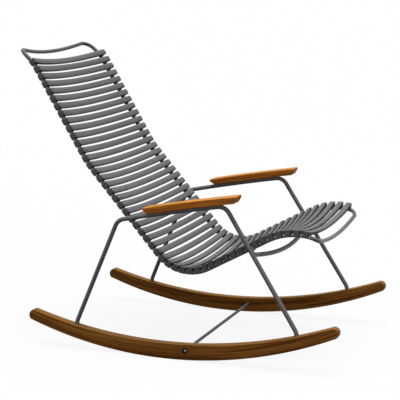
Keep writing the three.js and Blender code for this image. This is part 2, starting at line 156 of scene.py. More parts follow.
def seat_path():
    """The right half of the loop, from the middle of the head rail to that of the front rail."""
    distances = []
    start = 0
    for run in rail_runs:
        length = run_length(run)
        turn = run[1]
        facets = straight_facets if turn is None else math.ceil(abs(turn) / bend_facet_angle)
        distances += evenly(start, start + length, facets)[:-1]
        start += length
    distances.append(rail_length)
    rail = []
    for distance in distances:
        point, _ = rail_at(distance)
        rail.append(Vector((point.x, -rail_spread, point.y)))
    top_heading = rail_top_angle + math.pi
    top_corner = rail_top + Vector((rest_x, 0)) + Vector(
        (math.cos(top_heading), math.sin(top_heading))
    ) * top_corner_reach
    back = rail_top_angle + rail_runs[0][1]
    top_middle = (
        top_corner
        + Vector((math.sin(back), -math.cos(back))) * top_bow_back
        + Vector((math.cos(back), math.sin(back))) * top_bow_drop
    )
    front_end, front_heading = rail_at(rail_length)
    front_corner = front_end + Vector((front_corner_ahead, -front_corner_drop))
    front_middle = front_corner + Vector((-front_bow_back, -front_bow_drop))
    top = corner_points(rail[0], top_heading, top_corner, top_middle, top_corner_reach)
    top += cross_rail_points(top_corner, top_middle, top_corner_reach)
    front = corner_points(rail[-1], front_heading, front_corner, front_middle, front_corner_reach)
    front += cross_rail_points(front_corner, front_middle, front_corner_reach)
    return top[::-1] + rail + front


def smoothed(mesh):
    mesh.shade_smooth()
    mesh.set_sharp_from_angle(angle=crease_angle)
    return mesh


def solid_mesh(name, corners, faces):
    """A closed mesh whose faces all look outwards."""
    mesh = bpy.data.meshes.new(name)
    mesh.from_pydata(corners, [], faces)
    work = bmesh.new()
    work.from_mesh(mesh)
    bmesh.ops.recalc_face_normals(work, faces=work.faces)
    work.to_mesh(mesh)
    work.free()
    return smoothed(mesh)


def new_object(name, data):
    made = bpy.data.objects.new(name, data)
    bpy.context.collection.objects.link(made)
    return made


def new_piece(name, mesh, material, part):
    """A finished piece that takes the place of the part of that name in the frame."""
    mesh.materials.append(material)
    piece = new_object(name, mesh)
    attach(piece, "root")
    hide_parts(part)
    return piece


def bar_mesh(name, runs, sides=20):
    """Round bars, each a path with one radius or a radius at each of its points. A path that
    ends where it starts is a loop, and its small twist is spread over its length."""
    corners, faces = [], []
    for path, radius in runs:
        loop = (path[0] - path[-1]).length < same_place
        points = path[:-1] if loop else path
        count = len(points)
        radii = radius if isinstance(radius, list) else [radius] * count
        if loop:
            steps = [points[(i + 1) % count] - points[i - 1] for i in range(count)]
        else:
            steps = [points[min(i + 1, count - 1)] - points[max(i - 1, 0)] for i in range(count)]
        ahead = [step.normalized() for step in steps]
        normals = [ahead[0].orthogonal().normalized()]
        for way in ahead[1:] + ahead[:1]:
            normals.append((normals[-1] - way * normals[-1].dot(way)).normalized())
        back = normals.pop()
        side = ahead[0].cross(normals[0])
        twist = math.atan2(side.dot(back), normals[0].dot(back)) if loop else 0
        start = len(corners)
        for i, (point, way, normal) in enumerate(zip(points, ahead, normals)):
            other = way.cross(normal)
            for k in range(sides):
                angle = 2 * math.pi * k / sides - twist * i / count
                spoke = normal * math.cos(angle) + other * math.sin(angle)
                corners.append(point + spoke * radii[i])
        for i in range(count if loop else count - 1):
            for k in range(sides):
                j = (k + 1) % sides
                here, there = start + i * sides, start + (i + 1) % count * sides
                faces.append([here + k, here + j, there + j, there + k])
        if not loop:
            faces.append(list(range(start, start + sides)))
            faces.append(list(range(len(corners) - sides, len(corners))))
    return solid_mesh(name, corners, faces)


def flipped(points):
    return [Vector((point.x, -point.y, point.z)) for point in points]


def node(tree, kind, inputs, **settings):
    made = tree.nodes.new("ShaderNode" + kind)
    for setting, value in settings.items():
        setattr(made, setting, value)
    for socket, value in inputs.items():
        if isinstance(value, bpy.types.NodeSocket):
            tree.links.new(value, made.inputs[socket])
        else:
            made.inputs[socket].default_value = value
    return made


def maths(tree, operation, first, second=0.0):
    return node(tree, "Math", {0: first, 1: second}, operation=operation).outputs[0]


def product(tree, first, second):
    return maths(tree, "MULTIPLY", first, second)


def stretched(tree, place, rates):
    return node(tree, "VectorMath", {0: place, 1: rates}, operation="MULTIPLY").outputs[0]


def noise_at(tree, place, rates, detail, roughness):
    place = stretched(tree, place, rates)
    inputs = {"Vector": place, "Scale": 1.0, "Detail": detail, "Roughness": roughness}
    return node(tree, "TexNoise", inputs).outputs[0]


def spread_out(tree, value, low, high, new_low=0.0, new_high=1.0):
    inputs = {0: value, 1: low, 2: high, 3: new_low, 4: new_high}
    return node(tree, "MapRange", inputs).outputs[0]


def layered(tree, colour, layers):
    """The colour under its layers, each a share of the surface and the colour that it gives."""
    for share, layer in layers:
        # 6 and 7 are the mix node's two colour sockets.
        inputs = {0: share, 6: colour, 7: layer}
        colour = node(tree, "Mix", inputs, data_type="RGBA").outputs[2]
    return colour


def split(tree, vector):
    return node(tree, "SeparateXYZ", {0: vector}).outputs


def cleared_tree(owner):
    owner.use_nodes = True
    owner.node_tree.nodes.clear()
    return owner.node_tree


def new_finish(name, shine):
    material = bpy.data.materials.new(name)
    tree = cleared_tree(material)
    shader = node(tree, "BsdfPrincipled", {"Specular IOR Level": shine})
    node(tree, "OutputMaterial", {0: shader.outputs[0]})
    return material, tree, shader


def dress(tree, shader, colour, roughness, height, relief):
    """Gives the shader its colour and roughness, and a relief with that strength and depth."""
    strength, depth = relief
    bump = node(tree, "Bump", {"Height": height, "Strength": strength, "Distance": depth})
    tree.links.new(colour, shader.inputs["Base Color"])
    tree.links.new(roughness, shader.inputs["Roughness"])
    tree.links.new(bump.outputs[0], shader.inputs["Normal"])


# The coating is faintly clouded and rubbed pale on edges, with painted shade on its underside. A
# spread says at which two values a tone starts and ends, and how strong it is there. A noise has
# its rates along X, Y and Z, its detail and its roughness, and a relief its strength and its depth.
coat_dark = (0.158, 0.156, 0.159, 1)
coat_pale = (0.196, 0.193, 0.195, 1)
coat_rubbed = (0.3, 0.295, 0.29, 1)
# Painted shade for the coat where it faces downwards.
coat_painted_shade_below = (0.032, 0.031, 0.032, 1)
coat_shine = 0.12
coat_peel_noise = ((900.0, 900.0, 900.0), 2.0, 0.5)
coat_cloud_noise = ((9.0, 9.0, 9.0), 3.0, 0.6)
even_spread = (0.3, 0.7)
coat_rub_spread = (0.56, 0.7, 0.0, 0.4)
coat_painted_shade_below_spread = (0.2, -0.6)
coat_gloss_spread = (0.3, 0.7, 0.28, 0.38)
coat_relief = (0.2, 0.0003)

bar_coat, bar_tree, bar_shader = new_finish("dark_powder_coat", coat_shine)
bar_from = node(bar_tree, "TexCoord", {}).outputs
bar_peel = noise_at(bar_tree, bar_from["Object"], *coat_peel_noise)
bar_cloud = noise_at(bar_tree, bar_from["Object"], *coat_cloud_noise)
bar_edge = node(bar_tree, "NewGeometry", {}).outputs["Pointiness"]
bar_up = split(bar_tree, bar_from["Normal"])[2]
bar_colour = layered(bar_tree, coat_dark, [
    (spread_out(bar_tree, bar_cloud, *even_spread), coat_pale),
    (spread_out(bar_tree, bar_edge, *coat_rub_spread), coat_rubbed),
    # Painted shade on the downward-facing side of every bar.
    (spread_out(bar_tree, bar_up, *coat_painted_shade_below_spread), coat_painted_shade_below),
])
bar_gloss = spread_out(bar_tree, bar_cloud, *coat_gloss_spread)
dress(bar_tree, bar_shader, bar_colour, bar_gloss, bar_peel, coat_relief)

seat_right = seat_path()
seat_loop = seat_right + flipped(seat_right)[::-1][1:]
new_piece(
    "seat_frame_loop",
    bar_mesh("seat_frame_loop", [(seat_loop, rail_radius)]),
    bar_coat,
    "seat_frame",
)


# Slats. Forty-eight identical mouldings of glass-filled plastic, snapped over the seat frame one
# by one. Each is a bowed plate with rounded edges, with a clip at each end that grips the rail and
# is open at the back, and in it a short open sleeve that holds the next slat at its distance.

slat_count = 48
slat_first = 0.024
slat_last = 0.0096
slat_width = 0.018
slat_half = 0.246
slat_bow = 0.0245
slat_thickness = 0.0065
slat_end_thickness = 0.0105
slat_face_height = 0.0188
slat_clip_depth = 0.0205
slat_clip_reach = 0.0105
slat_seat_gap = 0.0006
slat_shoulder = 0.0016
slat_ease = 0.0009
slat_crown = 0.001
slat_end_round = 0.0032
slat_sleeve_length = 0.022
slat_sleeve_radius = 0.009
# How deep each ring of a plate's rounded long edge lies, and where the rings between them lie, as
# shares of its width.
slat_edge_depths = [0, 0.00012, 0.00045, 0.0009, 0.0015, 0.0023, 0.0032]
slat_middle_shares = [-0.2, 0, 0.2]
# Where each ring of a sleeve lies, as a share of its length, and how much its rim is eased there.
slat_sleeve_rings = [(-0.5, 0.0006), (-0.47, 0), (0.47, 0), (0.5, 0.0006)]
slat_face_facets = 14
slat_shoulder_facets = 4
slat_channel_facets = 16
slat_back_facets = 12
slat_sleeve_facets = 24

slat_pitch = (rail_length - slat_first - slat_last) / (slat_count - 1)


def slat_outline(ease, end_inset, fall):
    """Across the chair and out of the seat, with the rail's centre at height 0."""
    half = slat_half - max(ease, end_inset)
    clip_back = slat_face_height - slat_clip_depth + ease
    clip_inner = rail_spread - slat_clip_reach + ease
    channel = rail_radius + slat_seat_gap + ease

    def face(x):
        return slat_face_height - slat_bow * (1 - (x / slat_half) ** 2) - ease - fall

    def back_height(x):
        thickening = (slat_end_thickness - slat_thickness) * (x / slat_half) ** 2
        return face(x) + fall - slat_thickness - thickening + 2 * ease

    reach = half - slat_shoulder
    right_face = [Vector((x, face(x))) for x in evenly(0, reach, slat_face_facets)]
    shoulder_height = face(reach) - slat_shoulder
    shoulder = []
    for angle in evenly(0, math.pi / 2, slat_shoulder_facets)[1:]:
        x = reach + slat_shoulder * math.sin(angle)
        shoulder.append(Vector((x, shoulder_height + slat_shoulder * math.cos(angle))))
    mouth = math.asin(clip_back / channel)
    jaws = []
    for angle in evenly(mouth, math.pi - mouth, slat_channel_facets):
        x = rail_spread + channel * math.cos(angle)
        jaws.append(Vector((x, channel * math.sin(angle))))
    clip = [Vector((half, clip_back)), *jaws, Vector((clip_inner, clip_back))]
    back = [Vector((x, back_height(x))) for x in evenly(clip_inner, 0, slat_back_facets)]
    right = right_face + shoulder + clip + back
    left = [Vector((-point.x, point.y)) for point in right[1:-1]]
    return right + left[::-1]


def slat_sleeve(side, ease):
    """The open ring round the rail that holds the next slat at its distance."""
    back = slat_face_height - slat_clip_depth
    outer, inner = slat_sleeve_radius - ease, rail_radius + slat_seat_gap
    points = []
    for radius, turn in ((outer, 1), (inner, -1)):
        mouth = math.asin(back / radius)
        for angle in evenly(mouth, math.pi - mouth, slat_sleeve_facets):
            x = rail_spread + turn * radius * math.cos(angle)
            points.append(Vector((side * x, radius * math.sin(angle))))
    return points


def rounded_off(depth, radius):
    """How much a rounded edge of that radius draws a face in, at that depth below the rim."""
    return radius - math.sqrt(max(0, radius**2 - (radius - depth) ** 2)) if depth < radius else 0


def stacked_mesh(name, rings):
    """A closed solid through rings of equal length, with a flat face at each end."""
    count = len(rings[0])
    corners = [corner for ring in rings for corner in ring]
    faces = [list(range(count)), list(range(len(corners) - count, len(corners)))]
    for level in range(len(rings) - 1):
        start = level * count
        for i in range(count):
            j = (i + 1) % count
            faces.append([start + i, start + j, start + count + j, start + count + i])
    return solid_mesh(name, corners, faces)


def slat_mesh():
    edge = [(-slat_width / 2 + depth, depth) for depth in slat_edge_depths]
    middle = [(share * slat_width, slat_width) for share in slat_middle_shares]
    levels = edge + middle + [(-across, depth) for across, depth in edge[::-1]]
    rings = []
    for across, depth in levels:
        fall = slat_crown * (2 * across / slat_width) ** 2
        ease, end_inset = rounded_off(depth, slat_ease), rounded_off(depth, slat_end_round)
        ring = slat_outline(ease, end_inset, fall)
        rings.append([Vector((point.x, point.y, across)) for point in ring])
    plate = stacked_mesh("slat", rings)
    whole = bmesh.new()
    whole.from_mesh(plate)
    for side in (-1, 1):
        rings = []
        for share, ease in slat_sleeve_rings:
            across = share * slat_sleeve_length
            ring = slat_sleeve(side, ease)
            rings.append([Vector((point.x, point.y, across)) for point in ring])
        whole.from_mesh(stacked_mesh("sleeve", rings))
    whole.to_mesh(plate)
    whole.free()
    return smoothed(plate)


def slat_place(distance):
    """Square to the rail, midway between its centre line and its chord under the slat."""
    here, heading = rail_at(distance)
    before, _ = rail_at(distance - slat_width / 2)
    after, _ = rail_at(distance + slat_width / 2)
    centre = (before + after) / 4 + here / 2
    along = Vector((math.cos(heading), 0, math.sin(heading)))
    outward = Vector((-along.z, 0, along.x))
    turn = Matrix((Vector((0, 1, 0)), outward, along)).transposed()
    return Matrix.Translation((centre.x, 0, centre.y)) @ turn.to_4x4()


# Fine pale flecks of glass lie in the grey, and the streaks of the mould's flow differ from slat to
# slat. Painted shade darkens the walls, the ends and the lower or front edge of a plate, and painted
# light brightens its upper or back edge. The sleeves carry darker painted shade still, with a
# painted highlight on their outward side.
slat_dark = (0.175, 0.177, 0.186, 1)
slat_pale = (0.218, 0.22, 0.23, 1)
slat_fleck = (0.31, 0.31, 0.32, 1)
slat_worn = (0.27, 0.27, 0.28, 1)
# Painted shade on the plate's walls, where shade falls between the slats.
slat_painted_wall_shade = (0.022, 0.022, 0.024, 1)
# Painted shade on the plate's end faces.
slat_painted_end_shade = (0.045, 0.043, 0.046, 1)
# Painted shade on the plate's lower or front edge.
slat_painted_lower_edge_shade = (0.04, 0.04, 0.04, 1)
# Painted light on the plate's upper or back edge.
slat_painted_upper_edge_light = (0.4, 0.4, 0.41, 1)
# Painted shade on the sleeves, which sit deep between the slat ends.
slat_sleeve_painted_shade = (0.04, 0.04, 0.042, 1)
# Painted highlight on the sleeves' outward side.
slat_sleeve_painted_highlight = (0.85, 0.85, 0.86, 1)
slat_wall_shade_strength = 0.95
slat_end_shade_strength = 0.62
slat_shuffle = (13.0, 13.0, 13.0)
slat_shine = 0.1
slat_grit_noise = ((1400.0, 1400.0, 1400.0), 3.0, 0.65)
slat_flow_noise = ((9.0, 60.0, 110.0), 3.0, 0.55)
slat_fleck_spread = (0.52, 0.72, 0.0, 0.35)
slat_worn_spread = (0.52, 0.62, 0.0, 0.3)
slat_wall_spread = (0.25, 0.6)
slat_end_spread = (0.6, 0.9)
slat_end_reach_spread = (slat_half - 0.006, slat_half - 0.003)
slat_lower_edge_shade_spread = (0.02, 0.24, 0.0, 0.52)
slat_upper_edge_light_spread = (-0.06, -0.22, 0.0, 0.15)
slat_past_plate_spread = (slat_width / 2 - 0.0002, slat_width / 2 + 0.0002)
slat_outward_spread = (0.2, 0.6)
slat_sleeve_highlight_start_spread = (-0.0015, 0.0)
slat_sleeve_highlight_end_spread = (0.0065, 0.0045)
slat_gloss_spread = (0.3, 0.7, 0.5, 0.62)
slat_relief = (0.35, 0.0003)

slat_plastic, slat_tree, slat_shader = new_finish("moulded_grey_plastic", slat_shine)
slat_from = node(slat_tree, "TexCoord", {}).outputs
slat_origin = node(slat_tree, "ObjectInfo", {}).outputs["Location"]
slat_shift = stretched(slat_tree, slat_origin, slat_shuffle)
slat_where = node(slat_tree, "VectorMath", {0: slat_from["Object"], 1: slat_shift}).outputs[0]
slat_grit = noise_at(slat_tree, slat_where, *slat_grit_noise)
slat_flow = noise_at(slat_tree, slat_where, *slat_flow_noise)
slat_edge = node(slat_tree, "NewGeometry", {}).outputs["Pointiness"]
slat_way = split(slat_tree, slat_from["Normal"])
slat_spot = split(slat_tree, slat_from["Object"])

slat_sideways = maths(slat_tree, "ABSOLUTE", slat_way[0])
slat_along = maths(slat_tree, "ABSOLUTE", slat_way[2])
slat_reach = maths(slat_tree, "ABSOLUTE", slat_spot[0])
slat_off_middle = maths(slat_tree, "ABSOLUTE", slat_spot[2])
slat_outward = product(slat_tree, slat_way[0], maths(slat_tree, "SIGN", slat_spot[0]))

slat_wall = spread_out(slat_tree, slat_along, *slat_wall_spread)
slat_end = product(
    slat_tree,
    spread_out(slat_tree, slat_sideways, *slat_end_spread),
    spread_out(slat_tree, slat_reach, *slat_end_reach_spread),
)
# The band of the sleeves' outward side that takes the painted highlight.
slat_sleeve_highlight_band = product(
    slat_tree,
    spread_out(slat_tree, slat_spot[1], *slat_sleeve_highlight_start_spread),
    spread_out(slat_tree, slat_spot[1], *slat_sleeve_highlight_end_spread),
)
slat_outside = spread_out(slat_tree, slat_outward, *slat_outward_spread)
slat_sleeve_highlight_share = product(slat_tree, slat_outside, slat_sleeve_highlight_band)
# The sleeves' painted shade, with its painted highlight.
slat_sleeve_shade_and_highlight = layered(slat_tree, slat_sleeve_painted_shade, [(slat_sleeve_highlight_share, slat_sleeve_painted_highlight)])
slat_colour = layered(slat_tree, slat_dark, [
    (spread_out(slat_tree, slat_flow, *even_spread), slat_pale),
    (spread_out(slat_tree, slat_grit, *slat_fleck_spread), slat_fleck),
    (spread_out(slat_tree, slat_edge, *slat_worn_spread), slat_worn),
    # Painted shade on the walls between the slats.
    (product(slat_tree, slat_wall, slat_wall_shade_strength), slat_painted_wall_shade),
    # Painted shade on the end faces.
    (product(slat_tree, slat_end, slat_end_shade_strength), slat_painted_end_shade),
    # Painted shade on the lower or front edge.
    (spread_out(slat_tree, slat_way[2], *slat_lower_edge_shade_spread), slat_painted_lower_edge_shade),
    # Painted light on the upper or back edge.
    (spread_out(slat_tree, slat_way[2], *slat_upper_edge_light_spread), slat_painted_upper_edge_light),
    # The sleeves take their painted shade and painted highlight.
    (spread_out(slat_tree, slat_off_middle, *slat_past_plate_spread), slat_sleeve_shade_and_highlight),
])
slat_gloss = spread_out(slat_tree, slat_flow, *slat_gloss_spread)
dress(slat_tree, slat_shader, slat_colour, slat_gloss, slat_grit, slat_relief)

slat_shape = slat_mesh()
slat_shape.materials.append(slat_plastic)
for i in range(slat_count):
    slat = new_object(f"snap_slat_{i + 1:02d}", slat_shape)
    slat.matrix_world = slat_place(slat_first + i * slat_pitch)
    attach(slat, "root")
    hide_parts(f"slat_{i + 1:02d}")


# Runners. Each is a plank of laminated bamboo sawn to two shallow arcs, with a rounded nose at
# both ends and eased edges. The feet of the side frames are glued in blind holes in its top, and
# its outer face is counterbored for the bolt of the rod.

runner_lower_radius = 1.238
runner_chord = 0.058
runner_upper_radius = 1.43
runner_upper_centre = -0.007
runner_depth = 0.0455
runner_width = 0.0285
runner_spread = 0.288
runner_rear_reach = 0.426
runner_front_reach = 0.5082
runner_nose = 0.0129
runner_ease = 0.0026
counterbore_radius = 0.0075
counterbore_depth = 0.009
# A square cut across the plank is found by going back and forth between its faces this often, and
# a corner is taken as no sharper than this lean.
runner_cut_tries = 8
sharpest_lean = 0.5

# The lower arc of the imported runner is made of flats, one chord long, and rests on the middle one.
runner_centre_height = runner_lower_radius * math.cos(runner_chord / runner_lower_radius / 2)


def runner_top(x):
    run = x - runner_upper_centre
    return runner_depth + runner_upper_radius - math.sqrt(runner_upper_radius**2 - run**2)


def runner_foot(angle):
    return Vector((
        runner_centre_height * math.sin(angle),
        runner_centre_height * (1 - math.cos(angle)),
    ))


def runner_end(angle):
    """The top corner of the square cut that starts at this angle on the lower arc."""
    foot = runner_foot(angle)
    top = foot.copy()
    for _ in range(runner_cut_tries):
        height = runner_top(top.x)
        top = Vector((foot.x - (height - foot.y) * math.tan(angle), height))
    return top


def nose_points(start, end, reach, facets=16):
    """The rounded nose between the two corners of a plank's end."""
    middle = (start + end) / 2
    half = start - middle
    outward = Vector((-half.y, half.x)).normalized() * reach
    angles = evenly(0, math.pi, facets)[1:-1]
    return [middle + half * math.cos(angle) + outward * math.sin(angle) for angle in angles]


def runner_outline(facets=72):
    rear = -math.asin(runner_rear_reach / runner_lower_radius)
    front = math.asin(runner_front_reach / runner_lower_radius)
    lower = [runner_foot(angle) for angle in evenly(rear, front, facets)]
    front_top = runner_end(front)
    rear_top = runner_end(rear)
    upper = [Vector((x, runner_top(x))) for x in evenly(front_top.x, rear_top.x, facets)]
    front_nose = nose_points(lower[-1], upper[0], runner_nose)
    rear_nose = nose_points(upper[-1], lower[0], runner_nose)
    return [point + Vector((rest_x, 0)) for point in lower + front_nose + upper + rear_nose]


def inset_points(outline, inset):
    """The outline, which runs anticlockwise, moved inwards by the inset."""
    moved = []
    for i, point in enumerate(outline):
        before = (point - outline[i - 1]).normalized()
        after = (outline[(i + 1) % len(outline)] - point).normalized()
        inward = Vector((-before.y - after.y, before.x + after.x)).normalized()
        lean = max(sharpest_lean, inward.dot(Vector((-after.y, after.x))))
        moved.append(point + inward * inset / lean)
    return moved


def eased_levels(half, ease, steps=4):
    """Places across a plate, with how far its outline is drawn in there by the rounded edge."""
    levels = []
    for angle in evenly(0, math.pi / 2, steps):
        levels.append((-half + ease * (1 - math.cos(angle)), ease * (1 - math.sin(angle))))
    return levels + [(-across, inset) for across, inset in reversed(levels)]


def plank_mesh(name, outline, width, ease, spread):
    rings = []
    for across, inset in eased_levels(width / 2, ease):
        ring = inset_points(outline, inset)
        rings.append([Vector((point.x, across + spread, point.y)) for point in ring])
    return stacked_mesh(name, rings)


bamboo_fibre_noise = ((5.0, 260.0, 260.0), 4.0, 0.6)
bamboo_streak_noise = ((2.2, 60.0, 75.0), 2.0, 0.55)
bamboo_vein_noise = ((3.2, 120.0, 150.0), 2.0, 0.6)
bamboo_lane_strips = 3
bamboo_strip_shift = 0.9
bamboo_knot_rate = 4.3
bamboo_knot_spread = (0.0, 0.016, 1.0, 0.0)
bamboo_knot_strength = 0.35
bamboo_knot_dent = 0.3
bamboo_streak_spread = (0.36, 0.62)
bamboo_fibre_spread = (0.45, 0.8)
bamboo_vein_spread = (0.52, 0.64, 0.0, 0.75)
bamboo_strip_spread = (0.0, 1.0, 0.0, 0.3)
bamboo_top_light_streak_spread = (0.3, 0.7, 0.25, 0.85)
bamboo_painted_top_light_spread = (0.6, 0.95)
bamboo_gloss_spread = (0.3, 0.8, 0.42, 0.62)
bamboo_relief = (0.25, 0.0006)


def bamboo_finish(tree, shader, grain, shades, strip):
    """Oiled bamboo, laminated from strips of that thickness. The grain's X runs along the piece, Y
    and Z across it. Painted light makes the top face lighter."""
    dark, middle, light, top = shades
    along, across, through = split(tree, grain)
    strip_layer = maths(tree, "FLOOR", maths(tree, "DIVIDE", through, strip))
    strip_lane = maths(tree, "FLOOR", maths(tree, "DIVIDE", across, bamboo_lane_strips * strip))
    number = node(tree, "CombineXYZ", {0: strip_layer, 1: strip_lane, 2: 0.0}).outputs[0]
    chance = node(tree, "TexWhiteNoise", {"Vector": number}, noise_dimensions="2D").outputs[0]
    shifted = maths(tree, "ADD", along, product(tree, chance, bamboo_strip_shift))
    place = node(tree, "CombineXYZ", {0: shifted, 1: across, 2: through}).outputs[0]
    fibres = noise_at(tree, place, *bamboo_fibre_noise)
    streaks = noise_at(tree, place, *bamboo_streak_noise)
    veins = noise_at(tree, place, *bamboo_vein_noise)
    cane = maths(tree, "FRACT", product(tree, shifted, bamboo_knot_rate))
    off_knot = maths(tree, "ABSOLUTE", maths(tree, "SUBTRACT", cane, 0.5))
    knot = spread_out(tree, off_knot, *bamboo_knot_spread)
    body = layered(tree, dark, [
        (spread_out(tree, streaks, *bamboo_streak_spread), middle),
        (spread_out(tree, fibres, *bamboo_fibre_spread), light),
        (spread_out(tree, veins, *bamboo_vein_spread), dark),
        (spread_out(tree, chance, *bamboo_strip_spread), dark),
        (product(tree, knot, bamboo_knot_strength), dark),
    ])
    # Painted light: faces that look upwards take the lighter top tone.
    upward = split(tree, node(tree, "TexCoord", {}).outputs["Normal"])[2]
    painted_top_light = layered(tree, body, [(spread_out(tree, streaks, *bamboo_top_light_streak_spread), top)])
    body = layered(tree, body, [(spread_out(tree, upward, *bamboo_painted_top_light_spread), painted_top_light)])
    gloss = spread_out(tree, fibres, *bamboo_gloss_spread)
    height = maths(tree, "SUBTRACT", fibres, product(tree, knot, bamboo_knot_dent))
    dress(tree, shader, body, gloss, height, bamboo_relief)
    return body


# The bamboo's dark, middle and light tones, and the lighter top face, which is painted light.
runner_shades = (
    (0.1, 0.029, 0.004, 1),
    (0.33, 0.123, 0.02, 1),
    (0.5, 0.235, 0.049, 1),
    (0.5, 0.25, 0.055, 1),
)
# Painted shade for the wood inside the counterbore.
runner_painted_bore_shade = (0.012, 0.006, 0.003, 1)
runner_strip = 0.0075
runner_shine = 0.05
bore_rim_spread = (counterbore_radius + 0.0006, counterbore_radius + 0.0002)
bore_outer_spread = (runner_spread, runner_spread + 0.002)

# The runner's grain follows its curve: X runs round the lower arc and Z from there inwards.
runner_wood, runner_tree, runner_shader = new_finish("oiled_bamboo_runner", runner_shine)
runner_place = node(runner_tree, "TexCoord", {}).outputs["Object"]
runner_x, runner_y, runner_z = split(runner_tree, runner_place)
runner_run = maths(runner_tree, "SUBTRACT", runner_x, rest_x)
runner_drop = maths(runner_tree, "SUBTRACT", runner_centre_height, runner_z)
runner_turn = maths(runner_tree, "ARCTAN2", runner_run, runner_drop)
runner_square = maths(
    runner_tree,
    "ADD",
    product(runner_tree, runner_run, runner_run),
    product(runner_tree, runner_drop, runner_drop),
)
runner_from_centre = maths(runner_tree, "SQRT", runner_square)
runner_grain = node(runner_tree, "CombineXYZ", {
    0: product(runner_tree, runner_turn, runner_lower_radius),
    1: runner_y,
    2: maths(runner_tree, "SUBTRACT", runner_lower_radius, runner_from_centre),
}).outputs[0]
runner_plain = bamboo_finish(
    runner_tree, runner_shader, runner_grain, runner_shades, runner_strip
)


def distance_from(tree, place, point):
    return node(tree, "VectorMath", {0: place, 1: point}, operation="DISTANCE").outputs[1]


# Painted shade darkens the wood inside the counterbore, which lies in the outer half of the plank.
runner_side_place = node(runner_tree, "CombineXYZ", {0: runner_run, 1: 0.0, 2: runner_z}).outputs[0]
rod_place = (rod_x, 0.0, rod_height)
from_rod = distance_from(runner_tree, runner_side_place, rod_place)
runner_off_middle = maths(runner_tree, "ABSOLUTE", runner_y)
painted_bore_shade_share = product(
    runner_tree,
    spread_out(runner_tree, from_rod, *bore_rim_spread),
    spread_out(runner_tree, runner_off_middle, *bore_outer_spread),
)
runner_colour = layered(runner_tree, runner_plain, [(painted_bore_shade_share, runner_painted_bore_shade)])
runner_tree.links.new(runner_colour, runner_shader.inputs["Base Color"])

runner_right, runner_left = [
    new_piece(
        f"runner_plank_{side}",
        plank_mesh(f"runner_{side}", runner_outline(), runner_width, runner_ease, spread),
        runner_wood,
        f"runner_{side}",
    )
    for side, spread in (("right", -runner_spread), ("left", runner_spread))
]


# Side frames. One round steel bar each, bent from the rear foot over the arm to the front foot
# and powder coated dark grey. It leans out towards the floor, and two welded spacers reach in
# from it between the slats to carry the seat frame.

side_radius = 0.0065
side_bend = 0.034
foot_bend = 0.04
foot_bend_height = 0.007
foot_depth = 0.022
rear_foot_x = -0.2821
front_foot_x = 0.393
arm_rear = Vector((-0.1509, 0.392))
arm_front = Vector((0.1773, 0.4531))
arm_arch = 0.0022
arm_facets = 16
# The bends at both ends of the arm take up this many of its facets.
arm_bend_facets = 3
side_spread = 0.28875
side_splay = 0.0292
foot_hole_slack = 0.0003


def on_side(x, height):
    """The place on the right side frame's leaning plane."""
    return Vector((x + rest_x, side_splay * height - side_spread, height))


def arm_point(share):
    chord = arm_front - arm_rear
    up = Vector((-chord.y, chord.x)).normalized()
    return arm_rear + chord * share + up * (4 * arm_arch * share * (1 - share))


def bend_points(before, corner, after, radius, step=math.radians(5)):
    """A bend of that radius in the bar, where it turns at the corner."""
    into = (corner - before).normalized()
    out = (after - corner).normalized()
    turn = into.angle(out)
    start = corner - into * radius * math.tan(turn / 2)
    side = (out - into * out.dot(into)).normalized()
    return [
        start + into * radius * math.sin(angle) + side * radius * (1 - math.cos(angle))
        for angle in evenly(0, turn, max(2, math.ceil(turn / step)))
    ]


def side_path():
    """The right side frame's bar, from the rear foot over the arm to the front foot."""
    def foot(x):
        return on_side(x, runner_top(x) - foot_depth)

    def ankle(x):
        return on_side(x, runner_top(x) + foot_bend_height)

    arm = [on_side(*arm_point(share)) for share in evenly(0, 1, arm_facets)]
    arm_start, arm_end = arm[arm_bend_facets], arm[-arm_bend_facets - 1]
    return [
        foot(rear_foot_x),
        *bend_points(foot(rear_foot_x), ankle(rear_foot_x), arm[0], foot_bend),
        *bend_points(ankle(rear_foot_x), arm[0], arm_start, side_bend),
        *arm[arm_bend_facets:-arm_bend_facets],
        *bend_points(arm_end, arm[-1], ankle(front_foot_x), side_bend),
        *bend_points(arm[-1], ankle(front_foot_x), foot(front_foot_x), foot_bend),
        foot(front_foot_x),
    ]


def nearest_on(path, target):
    """The place on the path that lies nearest to the target."""
    best = path[0]
    for start, end in zip(path, path[1:]):
        line = end - start
        share = min(1, max(0, (target - start).dot(line) / line.length_squared))
        point = start + line * share
        if (point - target).length < (best - target).length:
            best = point
    return best


def cut_away(piece, tools):
    """Takes the tool meshes out of the piece for good."""
    cutters = [new_object("cutter", tool) for tool in tools]
    for cutter in cutters:
        change = piece.modifiers.new("cut", "BOOLEAN")
        change.operation = "DIFFERENCE"
        change.solver = "EXACT"
        change.object = cutter
    bpy.context.view_layer.update()
    whole = piece.evaluated_get(bpy.context.evaluated_depsgraph_get())
    mesh = bpy.data.meshes.new_from_object(whole)
    piece.modifiers.clear()
    piece.data = smoothed(mesh)
    for cutter in cutters:
        bpy.data.objects.remove(cutter)


# Each spacer has a thin pin that runs behind the clips, in the gap after the slat of this number,
# and is welded to the side bar with a bead. The bead's swell is given with its distance from the
# weld, as a share of its height.
spacer_slats = [22, 41]
spacer_radius = 0.005
spacer_pin_radius = 0.0028
spacer_pin_gap = 0.0003
spacer_pin_reach = 0.0012
spacer_pin_lap = 0.002
spacer_weld = 0.0014
spacer_beads = [(0.0035, 0), (0.0024, 0.35), (0.0012, 0.8), (0, 1)]
# A welded bar ends this far from the middle line of the side bar.
weld_sink = 0.8 * side_radius


def spacer_points(start, end):
    """A spacer's path and radii, which swell into a weld bead at its end."""
    away = (start - end).normalized()
    points = [start] + [end + away * back for back, _ in spacer_beads]
    radii = [spacer_radius] + [spacer_radius + spacer_weld * share for _, share in spacer_beads]
    return points, radii


